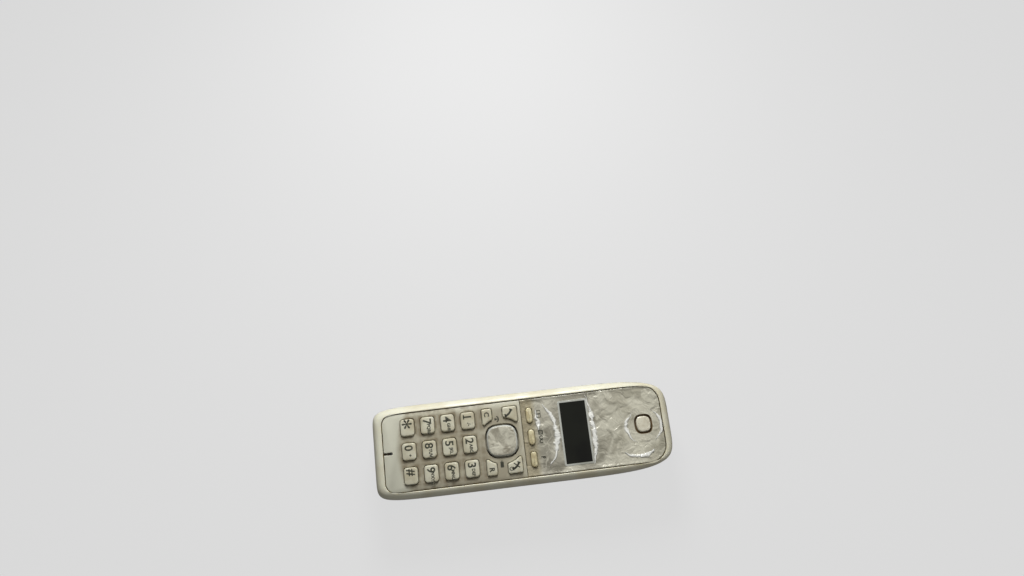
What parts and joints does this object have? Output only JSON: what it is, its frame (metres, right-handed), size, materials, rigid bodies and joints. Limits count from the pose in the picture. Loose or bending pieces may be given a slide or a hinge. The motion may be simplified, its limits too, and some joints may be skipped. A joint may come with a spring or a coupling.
{
  "type": "cordless phone handset",
  "caption": "Slim cordless phone handset with a raised rim, dial keypad, tilting navigator, soft keys, display window, earpiece slot and sliding battery cover.",
  "frame": {"origin": "middle of the bounding box in plan, on the surface that the flat of the back rests on", "axes": "+X along the body towards the earpiece end, +Y towards the left side of the face as the user reads it, +Z out of the face"},
  "size_m": [0.155, 0.0476, 0.0279],
  "materials": {
    "shell": "warm ivory moulded plastic, yellowed and slightly glossy",
    "keypad_face": "beige-grey moulded plastic, grimy between the keys",
    "display_face": "silver-grey lacquered plastic, glossy and crumpled",
    "keys": "ivory key plastic",
    "navigator": "silver-grey satin plastic",
    "rocker": "dark grey plastic",
    "display_window": "near-black glossy window over a switched-off display",
    "silicone": "translucent light grey silicone",
    "foam": "black foam and rubber",
    "lcd": "dark display glass",
    "white_plastic": "white moulded plastic",
    "steel": "plated steel",
    "wire": "red wire insulation",
    "board": "green circuit board",
    "chips": "black moulded chips",
    "gold": "gold-plated contacts",
    "cell_wrap": "plain green cell sleeve"
  },
  "bodies": {
    "handset": {"front_case": "shell", "rear_case": "shell", "keypad_panel": "keypad_face", "display_panel": "display_face", "display_lens": "display_window", "lcd_gasket": "foam", "lcd_module": "lcd", "lcd_holder": "white_plastic", "earpiece_cap": "keys", "earpiece_gasket": "foam", "earpiece_speaker": "steel", "earpiece_leads": "wire", "microphone": "steel", "microphone_boot": "foam", "keypad_membrane": "silicone", "key_contacts": "gold", "main_board": "board", "shield_can": "steel", "board_chips": "chips", "antenna": "gold", "ringer_speaker": "steel", "ringer_gasket": "foam", "ringer_leads": "wire", "battery_cell_1": "cell_wrap", "battery_cell_2": "cell_wrap", "battery_springs": "steel", "battery_plates": "steel", "charge_contacts": "gold", "case_screws": "steel", "board_screws": "steel"},
    "key_star": {"key_star": "keys"},
    "key_0": {"key_0": "keys"},
    "key_hash": {"key_hash": "keys"},
    "key_7": {"key_7": "keys"},
    "key_8": {"key_8": "keys"},
    "key_9": {"key_9": "keys"},
    "key_4": {"key_4": "keys"},
    "key_5": {"key_5": "keys"},
    "key_6": {"key_6": "keys"},
    "key_1": {"key_1": "keys"},
    "key_2": {"key_2": "keys"},
    "key_3": {"key_3": "keys"},
    "key_clear": {"key_clear": "keys"},
    "key_recall": {"key_recall": "keys"},
    "key_talk": {"key_talk": "keys"},
    "key_off": {"key_off": "keys"},
    "soft_key_left": {"soft_key_left": "keys"},
    "soft_key_middle": {"soft_key_middle": "keys"},
    "soft_key_right": {"soft_key_right": "keys"},
    "navigator_rocker": {"navigator_rocker": "rocker"},
    "navigator_key": {"navigator_key": "navigator"},
    "battery_cover": {"battery_cover": "shell"}
  },
  "joints": [
    {"name": "key_star_press", "type": "slide", "parent": "handset", "child": "key_star", "axis": [0, 0, -1], "range_m": [0, 0.0008], "stiffness_N_per_m": 400, "springref_m": -0.002, "deforming": ["keypad_membrane"]},
    {"name": "key_0_press", "type": "slide", "parent": "handset", "child": "key_0", "axis": [0, 0, -1], "range_m": [0, 0.0008], "stiffness_N_per_m": 400, "springref_m": -0.002, "deforming": ["keypad_membrane"]},
    {"name": "key_hash_press", "type": "slide", "parent": "handset", "child": "key_hash", "axis": [0, 0, -1], "range_m": [0, 0.0008], "stiffness_N_per_m": 400, "springref_m": -0.002, "deforming": ["keypad_membrane"]},
    {"name": "key_7_press", "type": "slide", "parent": "handset", "child": "key_7", "axis": [0, 0, -1], "range_m": [0, 0.0008], "stiffness_N_per_m": 400, "springref_m": -0.002, "deforming": ["keypad_membrane"]},
    {"name": "key_8_press", "type": "slide", "parent": "handset", "child": "key_8", "axis": [0, 0, -1], "range_m": [0, 0.0008], "stiffness_N_per_m": 400, "springref_m": -0.002, "deforming": ["keypad_membrane"]},
    {"name": "key_9_press", "type": "slide", "parent": "handset", "child": "key_9", "axis": [0, 0, -1], "range_m": [0, 0.0008], "stiffness_N_per_m": 400, "springref_m": -0.002, "deforming": ["keypad_membrane"]},
    {"name": "key_4_press", "type": "slide", "parent": "handset", "child": "key_4", "axis": [0, 0, -1], "range_m": [0, 0.0008], "stiffness_N_per_m": 400, "springref_m": -0.002, "deforming": ["keypad_membrane"]},
    {"name": "key_5_press", "type": "slide", "parent": "handset", "child": "key_5", "axis": [0, 0, -1], "range_m": [0, 0.0008], "stiffness_N_per_m": 400, "springref_m": -0.002, "deforming": ["keypad_membrane"]},
    {"name": "key_6_press", "type": "slide", "parent": "handset", "child": "key_6", "axis": [0, 0, -1], "range_m": [0, 0.0008], "stiffness_N_per_m": 400, "springref_m": -0.002, "deforming": ["keypad_membrane"]},
    {"name": "key_1_press", "type": "slide", "parent": "handset", "child": "key_1", "axis": [0, 0, -1], "range_m": [0, 0.0008], "stiffness_N_per_m": 400, "springref_m": -0.002, "deforming": ["keypad_membrane"]},
    {"name": "key_2_press", "type": "slide", "parent": "handset", "child": "key_2", "axis": [0, 0, -1], "range_m": [0, 0.0008], "stiffness_N_per_m": 400, "springref_m": -0.002, "deforming": ["keypad_membrane"]},
    {"name": "key_3_press", "type": "slide", "parent": "handset", "child": "key_3", "axis": [0, 0, -1], "range_m": [0, 0.0008], "stiffness_N_per_m": 400, "springref_m": -0.002, "deforming": ["keypad_membrane"]},
    {"name": "key_clear_press", "type": "slide", "parent": "handset", "child": "key_clear", "axis": [0, 0, -1], "range_m": [0, 0.0008], "stiffness_N_per_m": 400, "springref_m": -0.002, "deforming": ["keypad_membrane"]},
    {"name": "key_recall_press", "type": "slide", "parent": "handset", "child": "key_recall", "axis": [0, 0, -1], "range_m": [0, 0.0008], "stiffness_N_per_m": 400, "springref_m": -0.002, "deforming": ["keypad_membrane"]},
    {"name": "key_talk_press", "type": "slide", "parent": "handset", "child": "key_talk", "axis": [0, 0, -1], "range_m": [0, 0.0008], "stiffness_N_per_m": 400, "springref_m": -0.002, "deforming": ["keypad_membrane"]},
    {"name": "key_off_press", "type": "slide", "parent": "handset", "child": "key_off", "axis": [0, 0, -1], "range_m": [0, 0.0008], "stiffness_N_per_m": 400, "springref_m": -0.002, "deforming": ["keypad_membrane"]},
    {"name": "soft_key_left_press", "type": "slide", "parent": "handset", "child": "soft_key_left", "axis": [0, 0, -1], "range_m": [0, 0.0008], "stiffness_N_per_m": 400, "springref_m": -0.002, "deforming": ["keypad_membrane"]},
    {"name": "soft_key_middle_press", "type": "slide", "parent": "handset", "child": "soft_key_middle", "axis": [0, 0, -1], "range_m": [0, 0.0008], "stiffness_N_per_m": 400, "springref_m": -0.002, "deforming": ["keypad_membrane"]},
    {"name": "soft_key_right_press", "type": "slide", "parent": "handset", "child": "soft_key_right", "axis": [0, 0, -1], "range_m": [0, 0.0008], "stiffness_N_per_m": 400, "springref_m": -0.002, "deforming": ["keypad_membrane"]},
    {"name": "navigator_tilt_lengthways", "type": "hinge", "parent": "handset", "child": "navigator_rocker", "pos_m": [-0.0107, 0, 0.0224], "axis": [0, 1, 0], "range_deg": [-3.5, 3.5], "stiffness_Nm_per_rad": 0.06, "deforming": ["keypad_membrane"]},
    {"name": "navigator_tilt_sideways", "type": "hinge", "parent": "navigator_rocker", "child": "navigator_key", "pos_m": [-0.0107, 0, 0.0224], "axis": [1, 0, 0], "range_deg": [-3.5, 3.5], "stiffness_Nm_per_rad": 0.06},
    {"name": "battery_cover_slide", "type": "slide", "parent": "handset", "child": "battery_cover", "axis": [-1, 0, 0], "range_m": [0, 0.085]}
  ]
}
